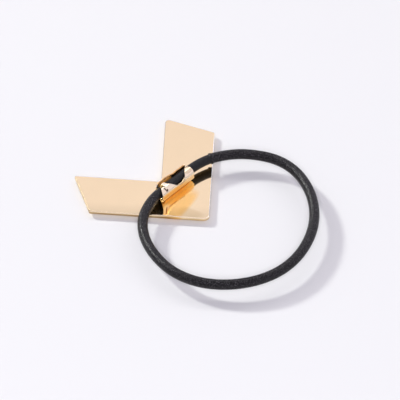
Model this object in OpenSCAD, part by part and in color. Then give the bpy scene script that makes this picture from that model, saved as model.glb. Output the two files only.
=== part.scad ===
// Hair tie lying on its polished front: an L-shaped metal plate with a small clamp soldered to
// its back, and a loop of covered elastic that passes through the clamp.
// Millimetres, +Z up. The origin is on the surface, under the middle of the plate's box.

/* [Plate] */
// Length of the outer edge of the arm along X
arm_x_outer = 35.6; // [34:0.1:38]
// Length of the outer edge of the arm along Y
arm_y_outer = 36.6; // [34:0.1:38]
// Reach of the slanted tip of the arm along X
arm_x_reach = 42.1; // [40:0.1:44]
// Reach of the slanted tip of the arm along Y
arm_y_reach = 41.6; // [40:0.1:44]
// Width of both arms at the inner corner
root_w = 14.9; // [13:0.1:16]
// Width of both arms at the tips
tip_w = 15.5; // [14:0.1:17]
// Thickness of the plate
plate_t = 2; // [1.8:0.1:2.4]
// Radius of the outer corner, seen from above
corner_r = 1.8; // [1:0.1:3]
// Radius of the four tip corners, seen from above
tip_r = 0.5; // [0.3:0.1:1]

/* [Front bevel] */
// Height of the bevel round the front face
bevel_h = 1.2; // [0.6:0.1:1.4]
// Width of that bevel, measured inwards
bevel_w = 1.2; // [0.6:0.1:1.4]

/* [Clamp] */
// Length of the clamp along the elastic
clamp_l = 12.5; // [11:0.1:14]
// Turn of the clamp from the X axis
clamp_turn = 51; // [49:1:53]
// Thickness of the clamp's sheet
sheet_t = 0.4; // [0.3:0.05:0.6]
// Height of the elastic's axis above the plate's back
axis_h = 2.9; // [2.6:0.1:3.2]
// Height of the far wall above the plate's back
far_wall_h = 4.3; // [3.6:0.1:4.5]
// How far the tabs fold over the elastic, as an angle from its near side
fold_turn = 100; // [80:1:110]
// Height of the scoop's floor between the two tabs, above the plate's back
scoop_h = 3.4; // [3:0.1:3.8]
// Radius of the scoop, seen from above
scoop_r = 3.55; // [3.3:0.05:3.8]

/* [Elastic] */
// Diameter of the covered elastic
elastic_d = 3; // [2.6:0.1:3]

/* [Hidden] */

// Clearance round the elastic in the clamp
clearance = 0.05;
// How far the clamp's foot is sunk into the plate, which makes the two one solid
sunk = 0.2;
// How far a cutter reaches past what it cuts
past = 5;
$fn = 64;

// The plate's outline, from its outer corner at [0, 0]
corner = [0, 0];
x_end_outer = [-arm_x_outer, 0];
x_end_inner = [-arm_x_reach, tip_w];
y_end_outer = [0, arm_y_outer];
y_end_inner = [-tip_w, arm_y_reach];
inner_corner = [-root_w, root_w];

// Where the line through two points crosses the Y axis, and the X axis
function at_x0(p, q) = [0, p.y - p.x * (q.y - p.y) / (q.x - p.x)];
function at_y0(p, q) = [p.x - p.y * (q.x - p.x) / (q.y - p.y), 0];

// Each arm is a convex outline that runs on through the corner, so the two make the L
arm_x = [corner, at_x0(x_end_inner, inner_corner), x_end_inner, x_end_outer];
arm_x_r = [corner_r, 0, tip_r, tip_r];
arm_y = [corner, y_end_outer, y_end_inner, at_y0(y_end_inner, inner_corner)];
arm_y_r = [corner_r, tip_r, tip_r, 0];

// Of a corner b between a and c that is rounded with radius r: how far from b the arc starts,
// and the arc's middle
function unit(p, q) = (q - p) / norm(q - p);
function half_angle(a, b, c) = acos(unit(b, a) * unit(b, c)) / 2;
function arc_start(a, b, c, r) = r / tan(half_angle(a, b, c));
function arc_middle(a, b, c, r) =
    let (way = unit(b, a) + unit(b, c)) b + way / norm(way) * r / sin(half_angle(a, b, c));

// The middle of the plate's box, from the arcs at its two furthest tips
x_tip = arc_middle(arm_x[1], arm_x[2], arm_x[3], tip_r);
y_tip = arc_middle(arm_y[1], arm_y[2], arm_y[3], tip_r);
plate_mid = [(x_tip.x - tip_r) / 2, (y_tip.y + tip_r) / 2];

// The clamp's own frame has X along the elastic, Y towards its far wall and Z up from the plate
clamp_mid = [10.3, -8.6];
inner_r = elastic_d / 2 + clearance;
outer_r = inner_r + sheet_t;
scoop_mid = [0.3, 1.4];
tab_r = 0.8;

// The elastic's route, seen from above, once round from the middle of the clamp.
// It stays level with the clamp, and its last point joins its first.
elastic_z = plate_t + axis_h;
elastic_sides = 8;
route = [
    [10.3, -8.6], [7.8, -11.7], [5.2, -15], [3.1, -19.5], [2, -24], [2.1, -28.5],
    [3.2, -33], [5.2, -37.3], [8, -41.4], [11.5, -45], [15.5, -47.6], [20, -49.3],
    [24.8, -50], [29.5, -49.8], [34, -48.8], [38.3, -47.1], [42.3, -44.6], [45.8, -41.3],
    [48.7, -37.2], [50.8, -32.7], [52.2, -28], [52.9, -23], [52.8, -18], [51.9, -13],
    [50.1, -8], [47.5, -3.5], [44, 0.2], [39.5, 2.8], [34.5, 4], [29.5, 4.2],
    [25, 3.4], [20.8, 1.8], [17.3, -0.6], [14.8, -3.1], [12.6, -5.8]
];

// A convex outline whose corners are rounded by true arcs
module rounded(points, radii) {
    n = len(points);
    function at(i) = points[(i + n) % n];
    polygon([for (i = [0 : n - 1], k = [-1, 1])
        at(i) + unit(at(i), at(i + k)) * arc_start(at(i - 1), at(i), at(i + 1), radii[i])]);
    for (i = [0 : n - 1])
        if (radii[i] > 0)
            translate(arc_middle(at(i - 1), at(i), at(i + 1), radii[i])) circle(radii[i]);
}

// A wedge that bevels the lower edge from p to q, where the plate lies on the line's left
module bevel_cut(p, q) {
    way = q - p;
    translate([p.x, p.y, 0]) rotate(atan2(way.y, way.x)) translate([-past, 0, 0])
        rotate([90, 0, 90]) linear_extrude(norm(way) + 2 * past)
            polygon([[2 * bevel_w, -bevel_h], [-bevel_w, 2 * bevel_h], [-bevel_w, -bevel_h]]);
}

// One arm of the plate, with the front bevel along all its edges
module arm(points, radii) {
    n = len(points);
    difference() {
        linear_extrude(plate_t) rounded(points, radii);
        for (i = [0 : n - 1]) bevel_cut(points[i], points[(i + 1) % n]);
    }
}

module plate() {
    translate([-plate_mid.x, -plate_mid.y, 0]) {
        arm(arm_x, arm_x_r);
        arm(arm_y, arm_y_r);
    }
}

// The clamp's section across the elastic: a foot and two walls, and the near wall's fold
module clamp_section() {
    difference() {
        union() {
            translate([-outer_r, -sunk]) square([2 * outer_r, axis_h + sunk]);
            translate([inner_r, -sunk]) square([sheet_t, far_wall_h + sunk]);
            intersection() {
                translate([0, axis_h]) circle(outer_r);
                polygon([for (p = [[0, 0], [-past, 0], [-past, past],
                                   [-past * cos(fold_turn), past * sin(fold_turn)]])
                    p + [0, axis_h]]);
            }
        }
        translate([0, axis_h]) circle(inner_r);
    }
}

// The scoop between the tabs, which leaves the far wall whole
module scoop_cut() {
    translate([0, 0, scoop_h]) intersection() {
        translate([scoop_mid.x, scoop_mid.y, 0]) cylinder(h = past, r = scoop_r);
        translate([-past, -past, 0]) cube([2 * past, past + inner_r - sheet_t, past]);
    }
}

// The outer corner of a tab's tip, cut round; side is -1 or 1
module tab_corner_cut(side) {
    tip_y = -outer_r * cos(fold_turn);
    translate([side * (clamp_l / 2 - tab_r), tip_y - tab_r, scoop_h]) difference() {
        translate([side > 0 ? 0 : -past, 0, 0]) cube([past, inner_r - tip_y, past]);
        cylinder(h = past, r = tab_r);
    }
}

module clamp() {
    translate([clamp_mid.x, clamp_mid.y, plate_t]) rotate(clamp_turn) difference() {
        translate([-clamp_l / 2, 0, 0]) rotate([90, 0, 90])
            linear_extrude(clamp_l) clamp_section();
        scoop_cut();
        for (side = [-1, 1]) tab_corner_cut(side);
    }
}

module plate_with_clamp() {
    color("gold") {
        plate();
        clamp();
    }
}

// The elastic as a closed tube: one ring of corners at each point of the route
function route_way(i) =
    let (n = len(route)) unit(route[(i + n - 1) % n], route[(i + 1) % n]);
function ring(i) = [for (k = [0 : elastic_sides - 1])
    let (turn = 360 * (k + 0.5) / elastic_sides, out = cos(turn) * elastic_d / 2, way = route_way(i))
        [route[i].x + way.y * out, route[i].y - way.x * out,
         elastic_z + sin(turn) * elastic_d / 2]];

module elastic() {
    rings = len(route);
    function index(i, k) = (i % rings) * elastic_sides + k % elastic_sides;
    color("black") polyhedron(
        points = [for (i = [0 : rings - 1]) each ring(i)],
        faces = [for (i = [0 : rings - 1], k = [0 : elastic_sides - 1])
            each [[index(i, k), index(i + 1, k), index(i + 1, k + 1)],
                  [index(i, k), index(i + 1, k + 1), index(i, k + 1)]]]);
}

plate_with_clamp();
elastic();
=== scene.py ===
"""A hair tie lying on its polished front: an L-shaped metal plate with a small clamp soldered to its
back, and a loop of covered elastic through the clamp. Metres, +Z up, in the frame of the solids."""

import math

import bmesh
import bpy
import numpy as np
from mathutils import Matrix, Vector


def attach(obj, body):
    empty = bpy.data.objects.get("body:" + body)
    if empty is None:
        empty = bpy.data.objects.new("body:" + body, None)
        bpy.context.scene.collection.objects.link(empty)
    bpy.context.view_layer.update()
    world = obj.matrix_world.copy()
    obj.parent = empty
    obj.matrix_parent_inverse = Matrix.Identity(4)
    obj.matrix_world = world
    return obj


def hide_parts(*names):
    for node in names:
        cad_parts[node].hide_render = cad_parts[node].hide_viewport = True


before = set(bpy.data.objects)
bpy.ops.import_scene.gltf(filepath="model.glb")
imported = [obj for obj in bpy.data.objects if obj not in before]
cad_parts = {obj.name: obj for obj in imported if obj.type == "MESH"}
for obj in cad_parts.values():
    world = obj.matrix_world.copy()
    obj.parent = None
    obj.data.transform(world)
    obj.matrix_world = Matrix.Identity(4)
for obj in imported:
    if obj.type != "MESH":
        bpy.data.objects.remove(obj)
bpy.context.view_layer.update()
scene = bpy.context.scene

# Camera
CAMERA_PLACE = (0.0703, -0.8185, 0.837)
CAMERA_TARGET = (0.0181, -0.0112, 0.0)
CAMERA_LENS_MM, CAMERA_SENSOR_MM = 347.1, 36
CAMERA_CLIP = (0.05, 20)


def make_camera():
    """The camera at the photo's angle, aimed at its target."""
    data = bpy.data.cameras.new("camera")
    data.sensor_width = CAMERA_SENSOR_MM
    data.lens = CAMERA_LENS_MM
    data.clip_start, data.clip_end = CAMERA_CLIP
    camera = bpy.data.objects.new("camera", data)
    scene.collection.objects.link(camera)
    camera.location = CAMERA_PLACE
    way = Vector(CAMERA_TARGET) - camera.location
    camera.rotation_euler = way.to_track_quat("-Z", "Y").to_euler()
    scene.camera = camera


make_camera()


# Meshes
# Points nearer than this are joined
WELD_DISTANCE = 0.000004


def new_piece(name, points, faces, *materials):
    """A smooth mesh object from points in metres and faces of point numbers."""
    mesh = bpy.data.meshes.new(name)
    mesh.from_pydata([tuple(p) for p in points], [], faces)
    mesh.validate()
    mesh.polygons.foreach_set("use_smooth", [True] * len(mesh.polygons))
    for material in materials:
        mesh.materials.append(material)
    piece = bpy.data.objects.new(name, mesh)
    scene.collection.objects.link(piece)
    return piece


def grid_faces(rows, columns, start=0, close_rows=False, close_columns=False):
    """Quads between neighbours of a grid of points, numbered row by row from start."""
    faces = []
    for i in range(rows if close_rows else rows - 1):
        for k in range(columns if close_columns else columns - 1):
            a, b = start + i * columns, start + (i + 1) % rows * columns
            n = (k + 1) % columns
            faces.append((a + k, a + n, b + n, b + k))
    return faces


def weld(piece):
    """Joins points that lie on each other and turns all faces outwards."""
    work = bmesh.new()
    work.from_mesh(piece.data)
    bmesh.ops.remove_doubles(work, verts=work.verts, dist=WELD_DISTANCE)
    bmesh.ops.recalc_face_normals(work, faces=work.faces)
    work.to_mesh(piece.data)
    work.free()


def smooth_step(x, low, high):
    """0 below low, 1 above high, and a smooth rise between them."""
    t = np.clip((x - low) / (high - low), 0, 1)
    return t * t * (3 - 2 * t)


def read_at(x, points):
    """The value at x on the straight lines through the given pairs of place and value."""
    return np.interp(x, *zip(*points))


# Materials
# Gold: colour and roughness of the plate, of the upper part of its rim, and of the clamp
PLATE_GOLD = (0.97, 0.78, 0.48), 0.06
# The upper rim's paler gold is a painted highlight: the bright floor that its rounded edge reflects
RIM_GOLD = (0.98, 0.83, 0.59), 0.12
CLAMP_GOLD = (1.0, 0.79, 0.48), 0.14
# A haze varies them by these parts, and the surface is faintly uneven
HAZE_SCALE, HAZE_DETAIL, HAZE_COLOUR, HAZE_ROUGHNESS = 260, 4, 0.015, 0.2
UNEVEN_SCALE, UNEVEN_DETAIL, UNEVEN_STRENGTH, UNEVEN_DEPTH = 90, 1, 0.05, 0.0001
# Yarn: its dark and light colours and roughness, as a full cover and where it is drawn
COVER_YARN = (0.003, 0.0026, 0.003), (0.07, 0.066, 0.07), 0.24
DRAWN_YARN = (0.006, 0.0065, 0.007), (0.02, 0.021, 0.022), 0.32
# Its grain, the noise levels at which that is dark and light, and its gloss
GRAIN_SCALE, GRAIN_DETAIL, GRAIN_DEPTH = 3300, 2, 0.0001
GRAIN_DARK_AT, GRAIN_LIGHT_AT = 0.52, 0.7
YARN_SPECULAR = 0.24


def node_adder(tree):
    """A function that adds a node to the tree. Each of its inputs gets a value or a link."""
    def add(kind, inputs=None, **settings):
        node = tree.nodes.new(kind)
        for key, value in settings.items():
            setattr(node, key, value)
        for key, value in (inputs or {}).items():
            if isinstance(value, bpy.types.NodeSocket):
                tree.links.new(value, node.inputs[key])
            else:
                node.inputs[key].default_value = value
        return node

    return add


def new_material(name):
    """A material, its node tree, its Principled shader and the function that adds nodes to it."""
    material = bpy.data.materials.new(name)
    material.use_nodes = True
    tree = material.node_tree
    return material, tree, tree.nodes["Principled BSDF"], node_adder(tree)


def soft_patch(add, place, centre, radii, turn, core):
    """1 in the core of a box with rounded corners, 0 outside it and a smooth fall between them."""
    local = add("ShaderNodeMapping", {"Vector": place, "Location": centre, "Rotation": (0, 0, turn),
                                      "Scale": radii}, vector_type="TEXTURE")
    squared = add("ShaderNodeVectorMath", {0: local.outputs["Vector"], 1: local.outputs["Vector"]},
                  operation="MULTIPLY")
    reach = add("ShaderNodeVectorMath", {0: squared.outputs["Vector"]}, operation="LENGTH")
    fall = add("ShaderNodeMapRange", {"Value": reach.outputs["Value"], "From Min": core, "From Max": 1,
                                      "To Min": 1, "To Max": 0}, interpolation_type="SMOOTHSTEP")
    return fall.outputs["Result"]


def patch(centre, radii, tint, roughness, turn=0.0, core=0.5):
    """A soft box, full in its core and turned about Z, where gold takes a tint and a roughness."""
    return centre, radii, tint, roughness, turn, core


def polished_gold(name, colour, roughness, patches):
    """Gold plating with soft patches of tint and roughness, most of which paint reflections, highlights
    and shade.
    """
    material, tree, shader, add = new_material(name)
    place = add("ShaderNodeTexCoord").outputs["Object"]
    haze = add("ShaderNodeTexNoise", {"Vector": place, "Scale": HAZE_SCALE, "Detail": HAZE_DETAIL})
    tint = add("ShaderNodeMapRange", {"Value": haze.outputs["Fac"],
                                      "To Min": 1 - HAZE_COLOUR, "To Max": 1 + HAZE_COLOUR})
    mixed = add("ShaderNodeVectorMath", {0: colour, 3: tint.outputs["Result"]}, operation="SCALE")
    shine = add("ShaderNodeMapRange", {"Value": haze.outputs["Fac"],
                                       "To Min": roughness * (1 - HAZE_ROUGHNESS),
                                       "To Max": roughness * (1 + HAZE_ROUGHNESS)})
    base, rough = mixed.outputs["Vector"], shine.outputs["Result"]
    for centre, radii, patch_tint, patch_roughness, turn, core in patches:
        here = soft_patch(add, place, centre, radii, turn, core)
        base = add("ShaderNodeMixRGB", {"Fac": here, "Color1": base, "Color2": (*patch_tint, 1)},
                   blend_type="MULTIPLY").outputs["Color"]
        rough = add("ShaderNodeMix", {"Factor": here, "A": rough,
                                      "B": patch_roughness}).outputs["Result"]
    tree.links.new(base, shader.inputs["Base Color"])
    tree.links.new(rough, shader.inputs["Roughness"])
    uneven = add("ShaderNodeTexNoise", {"Vector": place, "Scale": UNEVEN_SCALE, "Detail": UNEVEN_DETAIL})
    bump = add("ShaderNodeBump", {"Height": uneven.outputs["Fac"], "Strength": UNEVEN_STRENGTH,
                                  "Distance": UNEVEN_DEPTH})
    tree.links.new(bump.outputs["Normal"], shader.inputs["Normal"])
    shader.inputs["Metallic"].default_value = 1
    return material


def covered_elastic(name, dark, light, roughness):
    """Yarn with a fine grain of two greys."""
    material, tree, shader, add = new_material(name)
    place = add("ShaderNodeTexCoord").outputs["Object"]
    grain = add("ShaderNodeTexNoise", {"Vector": place, "Scale": GRAIN_SCALE, "Detail": GRAIN_DETAIL})
    ramp = add("ShaderNodeValToRGB", {"Fac": grain.outputs["Fac"]})
    low, high = ramp.color_ramp.elements
    low.position, high.position = GRAIN_DARK_AT, GRAIN_LIGHT_AT
    low.color, high.color = (*dark, 1), (*light, 1)
    tree.links.new(ramp.outputs["Color"], shader.inputs["Base Color"])
    bump = add("ShaderNodeBump", {"Height": grain.outputs["Fac"], "Strength": 1, "Distance": GRAIN_DEPTH})
    tree.links.new(bump.outputs["Normal"], shader.inputs["Normal"])
    shader.inputs["Roughness"].default_value = roughness
    shader.inputs["Specular IOR Level"].default_value = YARN_SPECULAR
    return material


# Sizes that several pieces share
# The plate's thickness, and the height of the elastic's axis above the plate's back
PLATE_T, AXIS_H = 0.002, 0.0029

# Elastic
# The route seen from above, once round from the middle of the clamp
ROUTE = [
    (0.0103, -0.0086), (0.0078, -0.0117), (0.0052, -0.015), (0.0031, -0.0195), (0.002, -0.024),
    (0.0021, -0.0285), (0.0032, -0.033), (0.0052, -0.0373), (0.008, -0.0414), (0.0115, -0.045),
    (0.0155, -0.0476), (0.02, -0.0493), (0.0248, -0.05), (0.0295, -0.0498), (0.034, -0.0488),
    (0.0383, -0.0471), (0.0423, -0.0446), (0.0458, -0.0413), (0.0487, -0.0372), (0.0508, -0.0327),
    (0.0522, -0.028), (0.0529, -0.023), (0.0528, -0.018), (0.0519, -0.013), (0.0501, -0.008),
    (0.0475, -0.0035), (0.044, 0.0002), (0.0395, 0.0028), (0.0345, 0.004), (0.0295, 0.0042),
    (0.025, 0.0034), (0.0208, 0.0018), (0.0173, -0.0006), (0.0148, -0.0031), (0.0126, -0.0058),
]
# The height of its axis in the clamp, and its radius
ELASTIC_Z = PLATE_T + AXIS_H
ELASTIC_R = 0.00156
# The loop rises a little to the right of the clamp, and comes nearer with its height
ELASTIC_RISE, ELASTIC_NEARER = 0.0125, 0.98
# Steps of the curve between two points of the route, and rows of the mesh for one point of the path
SPLINE_STEPS, PATH_STEP = 80, 4
# The braid: mesh rows and sides, strands around, repeats along, depth and a lower strand's part of it
BRAID_ROWS, BRAID_SIDES = 1400, 64
BRAID_STRANDS, BRAID_REPEATS = 16, 250
BRAID_DEPTH, BRAID_LOWER = 0.00009, 0.55
# The drawn stretch through the clamp: its two ends and how softly they start, as parts of the
# length, how much thinner it is, and the part of the braid's depth that it loses
DRAWN_END, JOINT_AT = 0.07, 0.912
DRAWN_FADE, JOINT_FADE = 0.02, 0.002
DRAWN_THINNER, DRAWN_SMOOTHER = 0.00009, 0.6
# The cover's end beside the joint is thicker by this much, over this part of the length
COVER_END_THICKER, COVER_END = 0.00022, 0.006


def closed_spline(points, count):
    """Points at equal steps along the smooth closed curve through the given points."""
    # h holds the distances between the points, and bend the curve's second derivatives there
    p = np.array(points)
    n = len(p)
    q = np.vstack([p, p[:1]])
    h = np.linalg.norm(np.diff(q, axis=0), axis=1)
    system, right = np.zeros((n, n)), np.zeros_like(p)
    for i in range(n):
        system[i, i - 1], system[i, i], system[i, (i + 1) % n] = h[i - 1], 2 * (h[i - 1] + h[i]), h[i]
        right[i] = 6 * ((q[i + 1] - p[i]) / h[i] - (p[i] - p[i - 1]) / h[i - 1])
    bend = np.linalg.solve(system, right)
    bend = np.vstack([bend, bend[:1]])
    fine = []
    for i in range(n):
        t = np.linspace(0, h[i], SPLINE_STEPS, endpoint=False)[:, None]
        u = h[i] - t
        fine.append((bend[i] * u ** 3 + bend[i + 1] * t ** 3) / (6 * h[i])
                    + (q[i] / h[i] - bend[i] * h[i] / 6) * u
                    + (q[i + 1] / h[i] - bend[i + 1] * h[i] / 6) * t)
    fine = np.vstack(fine + [p[:1]])
    run = np.r_[0, np.cumsum(np.linalg.norm(np.diff(fine, axis=0), axis=1))]
    at = np.linspace(0, run[-1], count, endpoint=False)
    return np.column_stack([np.interp(at, run, fine[:, k]) for k in (0, 1)])


def braid_relief(around, along):
    """Height of a diamond braid, 0 to 1, with both coordinates from 0 to 1."""
    a = around * BRAID_STRANDS + along * BRAID_REPEATS
    b = around * BRAID_STRANDS - along * BRAID_REPEATS
    ridge_a, ridge_b = np.abs(np.sin(math.pi * a)), np.abs(np.sin(math.pi * b))
    over = (np.floor(a) + np.floor(b)) % 2
    return np.where(over > 0.5, np.maximum(ridge_a, BRAID_LOWER * ridge_b),
                    np.maximum(ridge_b, BRAID_LOWER * ridge_a))


def drawn(along):
    """1 on the drawn stretch through the clamp and 0 elsewhere, with a step at the joint."""
    return np.maximum(1 - smooth_step(along, DRAWN_END - DRAWN_FADE, DRAWN_END),
                      smooth_step(along, JOINT_AT, JOINT_AT + JOINT_FADE))


def elastic_middle():
    """The middle of each row of the mesh, seen from above, and its height."""
    centre = closed_spline(ROUTE, BRAID_ROWS)
    rise = ELASTIC_RISE * (centre[:, 0] - ROUTE[0][0])
    centre[:, 1] -= ELASTIC_NEARER * rise
    return centre, ELASTIC_Z + rise


def elastic_points(centre, height):
    """The mesh's points, row by row, on a braided tube round its middle."""
    way = np.roll(centre, -1, axis=0) - np.roll(centre, 1, axis=0)
    way /= np.linalg.norm(way, axis=1)[:, None]
    side = np.column_stack([way[:, 1], -way[:, 0]])
    along, around = np.meshgrid(np.arange(BRAID_ROWS) / BRAID_ROWS,
                                np.arange(BRAID_SIDES) / BRAID_SIDES, indexing="ij")
    tight = drawn(along)
    depth = BRAID_DEPTH * (1 - DRAWN_SMOOTHER * tight)
    cover_end = COVER_END_THICKER * (1 - tight) * smooth_step(along, JOINT_AT - COVER_END, JOINT_AT)
    radius = ELASTIC_R + cover_end - DRAWN_THINNER * tight - depth * (1 - braid_relief(around, along))
    turn = 2 * math.pi * around
    out = radius * np.cos(turn)
    return np.stack([centre[:, 0, None] + side[:, 0, None] * out,
                     centre[:, 1, None] + side[:, 1, None] * out,
                     height[:, None] + radius * np.sin(turn)], axis=2).reshape(-1, 3)


def make_elastic(cover, drawn_cover):
    """The closed loop of covered elastic, with its drawn stretch through the clamp."""
    centre, height = elastic_middle()
    points = elastic_points(centre, height)
    faces = grid_faces(BRAID_ROWS, BRAID_SIDES, close_rows=True, close_columns=True)
    piece = new_piece("elastic_cover", points, faces, cover, drawn_cover)
    rows = np.repeat(drawn(np.arange(BRAID_ROWS) / BRAID_ROWS) > 0.5, BRAID_SIDES)
    piece.data.polygons.foreach_set("material_index", rows.astype(int))
    path = np.column_stack([centre, height])
    path = [tuple(p) for p in np.vstack([path[::PATH_STEP], path[:1]])]
    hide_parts("elastic")
    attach(piece, "root")


# Plate
# The outline's corners, measured from the solid's sharp outer corner, and the radius of each
CORNERS = [(0.0006, -0.0003), (0, 0.0366), (-0.0155, 0.0416), (-0.0149, 0.0146), (-0.0414, 0.0154),
           (-0.0356, 0.0006)]
RADII = [0.0018, 0.001, 0.0011, 0.0001, 0.0005, 0.0005]
# Which of them is the one between the arms
INNER_CORNER = 3
# Where the solid's outer corner lies, with the origin under the middle of the plate's box
OUTER_CORNER_PLACE = (0.02092, -0.0207)
# The least radius of a corner that is moved inwards
LEAST_RADIUS = 0.00004
# Steps on half a corner's arc, along an arm's long side and across its tip
ARC_STEPS, LONG_STEPS, TIP_STEPS = 6, 90, 48
# The back rises a little towards its near edge, over this width and by this much
DISH_WIDTH, DISH_RISE = 0.0048, 0.00022
# Under the elastic it rises by this part more, which fades in and out between these distances to
# the left of the outer corner
DISH_MORE = 0.7
DISH_MORE_IN, DISH_MORE_OUT = (0.006, 0.012), (0.017, 0.023)
# The rim from the back face down to the front one: how far in from the outline, and how high
RIM = [(0.00018, 0.002), (0.00016, 0.00199), (0.00002, 0.00185), (0, 0.00183), (0, 0.00116),
       (0.00002, 0.0011), (0.0003, 0.00075), (0.0005, 0.00055), (0.00098, 0.00011), (0.00106, 0.00003),
       (0.0012, 0)]
# How many of its strips, from the back on, are its upper part, which takes the paler gold of its painted
# highlight
UPPER_STRIPS = 4
# Between these heights the rim takes up the back's rise
RIM_RISES = (0.0012, 0.0018)
# A narrow ring inside the rim keeps the rim's rounding off the flat faces
KEEPER = 0.00004
BACK_INSET, FRONT_INSET = RIM[0][0] + KEEPER, RIM[-1][0] + KEEPER


def side_points(i, inset, steps):
    """The outline's side from the middle of corner i's arc to the middle of the next, moved inwards."""
    corners = [np.array(c, float) for c in CORNERS]
    count = len(corners)

    def half_arc(k, first):
        """Half of the arc at corner k, with the corner moved inwards."""
        a, b, c = corners[k - 1], corners[k % count], corners[(k + 1) % count]
        u, v = (b - a) / np.linalg.norm(b - a), (c - b) / np.linalg.norm(c - b)
        normal_u, normal_v = np.array([-u[1], u[0]]), np.array([-v[1], v[0]])
        place = b + (normal_u + normal_v) * inset / (1 + normal_u @ normal_v)
        sign = -1 if k % count == INNER_CORNER else 1
        radius = max(RADII[k % count] - sign * inset, LEAST_RADIUS)
        turn = math.atan2(u[0] * v[1] - u[1] * v[0], u @ v)
        middle = place - u * radius * abs(math.tan(turn / 2)) + sign * normal_u * radius
        x, y = -sign * normal_u * radius
        span = (0, turn / 2) if first else (turn / 2, turn)
        return [middle + (x * math.cos(t) - y * math.sin(t), x * math.sin(t) + y * math.cos(t))
                for t in np.linspace(*span, ARC_STEPS + 1)]

    leave, arrive = half_arc(i, False), half_arc(i + 1, True)
    straight = [leave[-1] + (arrive[0] - leave[-1]) * t for t in np.linspace(0, 1, steps + 1)[1:-1]]
    return np.array(leave + straight + arrive)


def outline(inset):
    """The whole outline moved inwards, once round."""
    steps = [LONG_STEPS, TIP_STEPS, LONG_STEPS, LONG_STEPS, TIP_STEPS, LONG_STEPS]
    return np.vstack([side_points(i, inset, s)[:-1] for i, s in enumerate(steps)])


def arm_grid(outer, tip, inner):
    """A grid over one arm between its outer side, tip and inner side, and the corner's diagonal."""
    n, m = len(outer), len(tip)
    s, t = np.linspace(0, 1, n)[:, None, None], np.linspace(0, 1, m)[None, :, None]
    diagonal = outer[0] + (inner[0] - outer[0]) * np.linspace(0, 1, m)[:, None]
    low, high = outer[:, None, :], inner[:, None, :]
    near, far = diagonal[None, :, :], tip[None, :, :]
    corners = ((1 - s) * (1 - t) * outer[0] + s * (1 - t) * outer[-1]
               + (1 - s) * t * inner[0] + s * t * inner[-1])
    return (1 - t) * low + t * high + (1 - s) * near + s * far - corners


def dish(xy):
    """How far the back rises at a place on the plate, more so under the elastic."""
    left = -xy[:, 0]
    more = smooth_step(left, *DISH_MORE_IN) * (1 - smooth_step(left, *DISH_MORE_OUT))
    return DISH_RISE * (1 + DISH_MORE * more) * np.clip(1 - xy[:, 1] / DISH_WIDTH, 0, 1) ** 2


def flat_face(inset, height_at, up, start):
    """Points and faces of the back or the front, as a grid over each arm, numbered from start."""
    points, faces = [], []
    for outer_side, tip_side, inner_side in ((0, 1, 2), (5, 4, 3)):
        outer = side_points(outer_side, inset, LONG_STEPS)
        tip = side_points(tip_side, inset, TIP_STEPS)
        inner = side_points(inner_side, inset, LONG_STEPS)
        if outer_side == 0:
            inner = inner[::-1]
        else:
            outer, tip = outer[::-1], tip[::-1]
        grid = arm_grid(outer, tip, inner)
        turned = (outer_side == 0) != up
        quads = grid_faces(*grid.shape[:2], start + len(points))
        faces.extend(q if turned else q[::-1] for q in quads)
        flat = grid.reshape(-1, 2)
        points.extend((x, y, z) for (x, y), z in zip(flat, height_at(flat)))
    return points, faces


def rim_strips(start):
    """Points and faces of the rim, ring by ring from the back to the front, numbered from start."""
    rings = [(BACK_INSET, RIM[0][1])] + RIM + [(FRONT_INSET, 0)]
    points = []
    for inset, height in rings:
        ring = outline(inset)
        heights = height + dish(ring) * smooth_step(height, *RIM_RISES)
        points.extend((x, y, z) for (x, y), z in zip(ring, heights))
    quads = grid_faces(len(rings), len(ring), start, close_columns=True)
    return points, [q[::-1] for q in quads]


def make_plate(material, upper_rim):
    """The plate: a back and a front face, and a rim of narrow strips between them."""
    points, faces = flat_face(BACK_INSET, lambda xy: PLATE_T + dish(xy), True, 0)
    rim_points, rim_faces = rim_strips(len(points))
    points += rim_points
    front_points, front_faces = flat_face(FRONT_INSET, lambda xy: np.zeros(len(xy)), False, len(points))
    points += front_points
    placed = np.array(points) + (*OUTER_CORNER_PLACE, 0)
    upper = np.arange(len(rim_faces)) < UPPER_STRIPS * len(outline(BACK_INSET))
    numbers = [0] * len(faces) + upper.astype(int).tolist() + [0] * len(front_faces)
    piece = new_piece("plate_body", placed, faces + rim_faces + front_faces, material, upper_rim)
    piece.data.polygons.foreach_set("material_index", numbers)
    weld(piece)
    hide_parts("plate_with_clamp")
    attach(piece, "root")


# Clamp, whose own X runs along the elastic, Y towards its far wall and Z up from the plate's back
CLAMP_MIDDLE = ROUTE[0]
CLAMP_TURN = math.radians(51)
# Half its length
CLAMP_HALF = 0.00625
# The thickness of its sheet
SHEET_T = 0.0004
# From the elastic's axis to the outside of the walls, and the outside radius of the bend at their foot
WALL_OUT, FOOT_R = 0.002, 0.0019
# The outside radius of the near wall's fold, which starts at the height of the elastic's axis
FOLD_R = 0.00195
# How far the near wall stands out further than the far one, and how far its foot's left end runs on
NEAR_OUT, LEFT_RUN = 0.00032, 0.0012
# Where along the clamp that starts, from its middle, and how far to the side it grows to its full size
LEFT_RUN_FROM, FOOT_REACH = 0.0045, 0.002
# How far the near wall's right end is cut back: pairs of height and cut, and where it begins
RIGHT_CUT = [(0, 0.0008), (0.0005, 0.0003), (0.0013, 0), (0.003, 0.0003), (0.0045, 0)]
RIGHT_CUT_FROM = 0.0048
# The far wall's height
FAR_WALL_H = 0.0043
# How much it leans out: pairs of place along the clamp and lean, and the height where that begins
FAR_LEAN = [(-0.00625, 0.3), (-0.004, 0.5), (-0.001, 0.45), (0.001, 0.0)]
FAR_LEAN_FROM = 0.0033
# How much lower its top is at the left end, and where along the clamp that begins
FAR_LOWER, FAR_LOWER_FROM = 0.0007, 0.0052
# The height and the two rates of its top's waves
FAR_WAVE, FAR_WAVE_RATES = 0.00008, (1900, 700)
# The top takes this shape from this height on
FAR_TOP_FROM = 0.003
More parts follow.
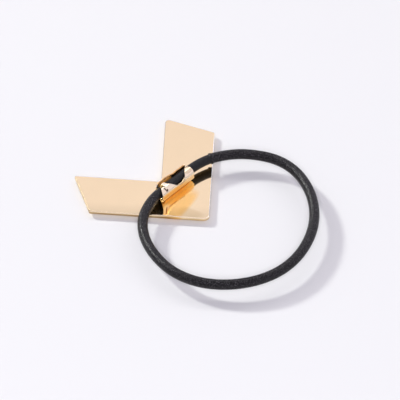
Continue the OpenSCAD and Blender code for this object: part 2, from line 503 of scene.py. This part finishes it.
# How far the sheet goes on past the fold's start: pairs of place along the clamp and reach
FOLD_REACH = [(-0.00625, 0.0025), (-0.0061, 0.003), (-0.0055, 0.00334), (-0.00445, 0.00334),
              (-0.0037, 0.0031), (-0.0031, 0.00262), (-0.0021, 0.00153), (-0.0012, 0.00075),
              (-0.0004, 0.00051), (0.0012, 0.00051), (0.0025, 0.00136), (0.0034, 0.00255),
              (0.00385, 0.00296), (0.0052, 0.0035), (0.0059, 0.00334), (0.00615, 0.0028),
              (0.00625, 0.0019)]
# Sections along the clamp, and the points on each of a section's parts
CLAMP_STATIONS = 140
FAR_WALL_POINTS, BEND_POINTS, NEAR_WALL_POINTS, FOLD_POINTS = 14, 12, 10, 30
# The rounding of the sheet's edges, and the angle from which an edge is rounded
EDGE_ROUND, EDGE_STEPS, EDGE_ANGLE = 0.00003, 2, math.radians(40)


def fold_point(run, inside):
    """The near wall's fold at a distance past its start, on its outside or its inside."""
    arc = FOLD_R * math.pi / 2
    radius = FOLD_R - inside
    middle = -(WALL_OUT - FOLD_R)
    if run <= arc:
        turn = run / FOLD_R
        return middle - radius * math.cos(turn), AXIS_H + radius * math.sin(turn)
    return middle + run - arc, AXIS_H + radius


def clamp_section(x):
    """Outside and inside path of the section at x, from the far wall's top round to the fold's end."""
    outer, inner = [], []
    for h in np.linspace(FAR_WALL_H, FOOT_R, FAR_WALL_POINTS)[:-1]:
        outer.append((WALL_OUT, h))
        inner.append((WALL_OUT - SHEET_T, h))
    for middle, start in ((WALL_OUT - FOOT_R, 0), (-(WALL_OUT - FOOT_R), math.pi / 2)):
        for t in np.linspace(start, start + math.pi / 2, BEND_POINTS):
            outer.append((middle + FOOT_R * math.cos(t), FOOT_R - FOOT_R * math.sin(t)))
            inner_r = FOOT_R - SHEET_T
            inner.append((middle + inner_r * math.cos(t), FOOT_R - inner_r * math.sin(t)))
    for h in np.linspace(FOOT_R, AXIS_H, NEAR_WALL_POINTS)[1:-1]:
        outer.append((-WALL_OUT, h))
        inner.append((-(WALL_OUT - SHEET_T), h))
    for run in np.linspace(0, read_at(x, FOLD_REACH), FOLD_POINTS):
        outer.append(fold_point(run, 0))
        inner.append(fold_point(run, SHEET_T))
    return np.array(outer), np.array(inner)


def shape_ends(x, y, z):
    """Moves the near wall out, shapes its two ends and bends the far wall's top."""
    near = y < 0
    y = np.where(near, y - NEAR_OUT, y)
    cut = read_at(z, RIGHT_CUT)
    x = np.where(near, x - cut * smooth_step(x, RIGHT_CUT_FROM, CLAMP_HALF), x)
    x = x - LEFT_RUN * smooth_step(-x, LEFT_RUN_FROM, CLAMP_HALF) * np.clip(-y / FOOT_REACH, 0, 1)
    lean = read_at(x, FAR_LEAN)
    y = np.where(near, y, y + lean * np.clip(z - FAR_LEAN_FROM, 0, None))
    waves = np.sin(x * FAR_WAVE_RATES[0]) * np.sin(x * FAR_WAVE_RATES[1])
    lower = FAR_LOWER * smooth_step(-x, FAR_LOWER_FROM, CLAMP_HALF) + FAR_WAVE * waves
    z = np.where(near, z, z - lower * smooth_step(z, FAR_TOP_FROM, FAR_WALL_H))
    return x, y, z


def clamp_points():
    """The sheet's points, section by section, in the clamp's own frame."""
    rings = []
    for x in np.linspace(-CLAMP_HALF, CLAMP_HALF, CLAMP_STATIONS):
        outer, inner = clamp_section(x)
        ring = np.vstack([outer, inner[::-1]])
        rings.append(np.column_stack([np.full(len(ring), x), ring]))
    return shape_ends(*np.vstack(rings).T)


def clamp_faces(count):
    """The sheet's faces all round and at its two ends, with count points in a section."""
    faces = grid_faces(CLAMP_STATIONS, count, close_columns=True)
    for row, flip in ((0, False), (CLAMP_STATIONS - 1, True)):
        a = row * count
        for k in range(count // 2 - 1):
            quad = (a + k, a + k + 1, a + count - 2 - k, a + count - 1 - k)
            faces.append(quad[::-1] if flip else quad)
    return faces


def make_clamp(material, inside):
    """The clamp: one sheet with a far wall, a foot and a near wall that folds over the elastic."""
    x, y, z = clamp_points()
    c, s = math.cos(CLAMP_TURN), math.sin(CLAMP_TURN)
    placed = np.column_stack([CLAMP_MIDDLE[0] + c * x - s * y, CLAMP_MIDDLE[1] + s * x + c * y,
                              PLATE_T + z])
    count = len(placed) // CLAMP_STATIONS
    faces = clamp_faces(count)
    piece = new_piece("clamp_fold", placed, faces, material, inside)
    column = np.arange(count)
    is_inside = (column >= count // 2) & (column < count - 1)
    numbers = np.zeros(len(faces), int)
    numbers[:(CLAMP_STATIONS - 1) * count] = np.tile(is_inside, CLAMP_STATIONS - 1)
    piece.data.polygons.foreach_set("material_index", numbers)
    weld(piece)
    bevel = piece.modifiers.new("rounded_edges", "BEVEL")
    bevel.width, bevel.segments = EDGE_ROUND, EDGE_STEPS
    bevel.limit_method, bevel.angle_limit = "ANGLE", EDGE_ANGLE
    bevel.harden_normals = True
    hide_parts("plate_with_clamp")
    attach(piece, "root")


# Stage
# The floor's colour, and half its side
FLOOR_COLOUR, FLOOR_HALF = (0.79, 0.79, 0.79, 1), 4
# The key light, from the left and beyond
KEY_PLACE, KEY_SIZE = (-1.79, 1.085, 1.47), 0.325
KEY_POWER, KEY_COLOUR = 38.5, (0.97, 1, 0.95)
# A long strip light beyond the object
STRIP_PLACE, STRIP_LENGTH, STRIP_WIDTH = (-0.1, 1.09, 1.48), 6, 0.25
STRIP_POWER, STRIP_COLOUR = 14.5, (1, 0.98, 0.97)
# Brightness of the surroundings: pairs of the elevation's sine and level
SURROUNDINGS = [(0.0, 0.55), (0.35, 0.62), (0.54, 0.8), (0.72, 1.0), (0.85, 1.0), (0.95, 0.5),
                (1.0, 0.45)]
SURROUNDINGS_COLOUR = (0.945, 0.9, 1.05)
# Towards the right they pass to an even brightness, where a direction's X lies between these
RIGHT_EDGE = (0.15, 0.5)
# The part of the surroundings that lights matt surfaces
MATT_PART = 0.4
# A soft fill light from the near side, which reflections don't show
FILL_PLACE, FILL_SIZE = (0.09, -1.39, 1.44), 0.7
FILL_POWER, FILL_COLOUR = 21.5, (0.965, 0.94, 1.02)


def make_stage():
    """The plain floor."""
    material, _, shader, _ = new_material("floor")
    shader.inputs["Base Color"].default_value = FLOOR_COLOUR
    shader.inputs["Roughness"].default_value = 1
    shader.inputs["Specular IOR Level"].default_value = 0
    corners = [(FLOOR_HALF * x, FLOOR_HALF * y, 0) for x, y in ((-1, -1), (1, -1), (1, 1), (-1, 1))]
    floor = new_piece("floor", corners, [(0, 1, 2, 3)], material)


def make_light(name, place, power, colour, length, width=None, glossy=True):
    """A light that faces the origin: a disk, or with a width a rectangle whose length runs along X."""
    data = bpy.data.lights.new(name, "AREA")
    data.energy, data.color, data.size = power, colour, length
    data.shape = "RECTANGLE" if width else "DISK"
    if width:
        data.size_y = width
    light = bpy.data.objects.new(name, data)
    scene.collection.objects.link(light)
    light.location = place
    facing = (-Vector(place)).to_track_quat("-Z", "Y")
    across = facing.inverted() @ Vector((1, 0, 0))
    light.rotation_euler = facing.to_euler()
    light.rotation_euler.rotate_axis("Z", math.atan2(across.y, across.x))
    light.visible_glossy = glossy


def make_world():
    """The surroundings, which light matt surfaces less than they show in reflections."""
    world = bpy.data.worlds.new("studio")
    world.use_nodes = True
    scene.world = world
    tree = world.node_tree
    back = tree.nodes["Background"]
    add = node_adder(tree)
    way = add("ShaderNodeSeparateXYZ", {0: add("ShaderNodeTexCoord").outputs["Generated"]})
    ramp = add("ShaderNodeValToRGB", {"Fac": way.outputs["Z"]})
    elements = ramp.color_ramp.elements
    while len(elements) < len(SURROUNDINGS):
        elements.new(1)
    for element, (position, level) in zip(elements, SURROUNDINGS):
        element.position = position
        element.color = (*(level * c for c in SURROUNDINGS_COLOUR), 1)
    right = add("ShaderNodeMapRange", {"Value": way.outputs["X"],
                                       "From Min": RIGHT_EDGE[0], "From Max": RIGHT_EDGE[1]})
    mix = add("ShaderNodeMixRGB", {"Fac": right.outputs["Result"], "Color1": ramp.outputs["Color"],
                                   "Color2": (*SURROUNDINGS_COLOUR, 1)})
    matt = add("ShaderNodeMapRange", {"Value": add("ShaderNodeLightPath").outputs["Is Diffuse Ray"],
                                      "To Min": 1, "To Max": MATT_PART})
    tree.links.new(mix.outputs["Color"], back.inputs["Color"])
    tree.links.new(matt.outputs["Result"], back.inputs["Strength"])
    scene.view_settings.view_transform = "Standard"


# Patches
# Half the depth of those on the plate's flat back, and of those on the upper part of its rim
DEEP, SHALLOW = 0.004, 0.0005
# The middle and half the height of the rim's side
SIDE_Z, SIDE_HALF = 0.00148, 0.00036
# The left part of the plate's near side, seen from above, where its rim gets more painted shade: its
# middle, radii and turn
NEAR_SIDE, NEAR_SIDE_RADII, NEAR_SIDE_TURN = (-0.0045, -0.0203), (0.0165, 0.0012), 0.015

PLATE_PATCHES = [
    # Two warm bands beside the clamp, painted reflections of its near wall in the plate, and the dark
    # line at its foot, a painted contact shadow in the crevice under it
    patch((0.01187, -0.01103, PLATE_T), (0.0062, 0.0015, DEEP), (1, 0.88, 0.66), 0.06, CLAMP_TURN, 0.6),
    patch((0.01245, -0.0115, PLATE_T), (0.0064, 0.0009, DEEP), (1, 0.86, 0.58), 0.08, CLAMP_TURN, 0.6),
    patch((0.01123, -0.00987, PLATE_T), (0.0066, 0.00017, DEEP), (0.7, 0.42, 0.22), 0.2, CLAMP_TURN),
    # The warm field between the clamp and the near edge, painted light reflected from the clamp, and a
    # darker one at the outer corner, a painted reflection of dimmer surroundings
    patch((0.0124, -0.0158, PLATE_T), (0.009, 0.0034, DEEP), (1.03, 0.8, 0.45), 0.08, 1.1, 0.25),
    patch((0.0157, -0.0191, PLATE_T), (0.0046, 0.0026, DEEP), (0.89, 0.87, 0.82), 0.08, -0.4, 0.1),
    # Two fine dark lines at the left of the warm field, painted reflections of the clamp's left end and
    # of the mirrored band's edge
    patch((0.01029, -0.01528, PLATE_T), (0.0023, 0.00014, DEEP), (0.4, 0.25, 0.15), 0.2, CLAMP_TURN, 0.3),
    patch((0.0085, -0.0184, PLATE_T), (0.00022, 0.0021, DEEP), (0.35, 0.2, 0.11), 0.2, 0, 0.3),
    # Painted shade on the side of the whole rim, where it reflects the shadowed floor, and more of it on
    # the left part of its near side
    patch((0, 0, SIDE_Z), (1, 1, SIDE_HALF), (0.82, 0.74, 0.68), 0.15, 0, 0.8),
    patch((*NEAR_SIDE, SIDE_Z), (*NEAR_SIDE_RADII, SIDE_HALF), (0.6, 0.56, 0.52), 0.15, NEAR_SIDE_TURN,
          0.8),
]
RIM_PATCHES = [
    # A painted highlight along the right edge, painted shade at the left arm's tip that dims the key
    # light's glint there, and lighter painted shade on the left part of the near side
    patch((0.0209, -0.0026, PLATE_T), (0.0009, 0.0195, SHALLOW), (1.05, 1.25, 1.6), 0.2, 0.016),
    patch((-0.0176, -0.0127, PLATE_T), (0.009, 0.0008, SHALLOW), (0.48, 0.45, 0.4), 0.5, -1.197, 0.7),
    patch((*NEAR_SIDE, PLATE_T), (*NEAR_SIDE_RADII, SHALLOW), (0.93, 0.91, 0.88), 0.15, NEAR_SIDE_TURN,
          0.8),
]
CLAMP_PATCHES = [
    # Paler above the foot, a painted highlight; duller on the foot; and brown along the far wall's top
    patch((*CLAMP_MIDDLE, 0.0075), (0.009, 0.005, 0.0042), (0.92, 0.98, 1.17), 0.26, CLAMP_TURN, 0.75),
    patch((*CLAMP_MIDDLE, PLATE_T), (0.009, 0.005, 0.0021), (1, 0.95, 0.8), 0.34, CLAMP_TURN, 0.8),
    patch((0.0089, -0.00747, 0.0065), (0.0068, 0.0007, 0.0004), (0.6, 0.4, 0.22), 0.4, CLAMP_TURN, 0.8),
    # Painted shade that tones down the highlights on the top of both tabs, and on the right one once more
    patch((*CLAMP_MIDDLE, 0.0078), (0.009, 0.005, 0.0015), (0.96, 0.98, 1), 0.2, CLAMP_TURN, 0.6),
    patch((0.0134, -0.0048, 0.0069), (0.0022, 0.0022, 0.0008), (0.84, 0.8, 0.74), 0.26, core=0.6),
    # Painted shade, with more roughness, that dims glints: below the scoop, on the left tab's end and on
    # the foot's left end
    patch((0.0124, -0.0092, 0.0058), (0.0014, 0.0014, 0.0011), (0.75, 0.7, 0.62), 0.6),
    patch((0.0063, -0.0128, 0.0068), (0.0009, 0.0008, 0.0007), (0.5, 0.42, 0.25), 0.6),
    patch((0.0064, -0.0138, 0.0022), (0.0016, 0.0016, 0.0007), (0.45, 0.36, 0.22), 0.5),
    # Three dark tool marks on the left tab
    patch((0.0071, -0.01295, 0.0068), (0.0008, 0.00025, 0.0006), (0.08, 0.05, 0.04), 0.5),
    patch((0.0077, -0.0137, 0.0064), (0.00025, 0.0005, 0.0009), (0.08, 0.05, 0.04), 0.5, 0.8),
    patch((0.0084, -0.0138, 0.0063), (0.00025, 0.0005, 0.0008), (0.1, 0.06, 0.04), 0.5, -0.5),
]
INSIDE_PATCHES = [
    # On the far wall's inside: painted shade in its right half, behind the elastic, and a bright strip of
    # painted reflected light in its left half
    patch((0.0109, -0.00498, 0.0058), (0.0032, 0.0007, 0.0009), (0.3, 0.2, 0.12), 0.4, CLAMP_TURN, 0.7),
    patch((0.0072, -0.0094, 0.0056), (0.003, 0.0007, 0.0005), (1.25, 0.75, 0.32), 0.8, CLAMP_TURN, 0.8),
]

# Making
plate_gold = polished_gold("plate_gold", *PLATE_GOLD, PLATE_PATCHES)
rim_gold = polished_gold("rim_gold", *RIM_GOLD, RIM_PATCHES)
clamp_gold = polished_gold("clamp_gold", *CLAMP_GOLD, CLAMP_PATCHES)
inside_gold = polished_gold("inside_gold", *CLAMP_GOLD, INSIDE_PATCHES)
cover = covered_elastic("covered_elastic", *COVER_YARN)
drawn_cover = covered_elastic("drawn_elastic", *DRAWN_YARN)
make_elastic(cover, drawn_cover)
make_plate(plate_gold, rim_gold)
make_clamp(clamp_gold, inside_gold)
make_stage()
make_light("key", KEY_PLACE, KEY_POWER, KEY_COLOUR, KEY_SIZE)
make_light("strip", STRIP_PLACE, STRIP_POWER, STRIP_COLOUR, STRIP_LENGTH, STRIP_WIDTH)
make_light("fill", FILL_PLACE, FILL_POWER, FILL_COLOUR, FILL_SIZE, glossy=False)
make_world()
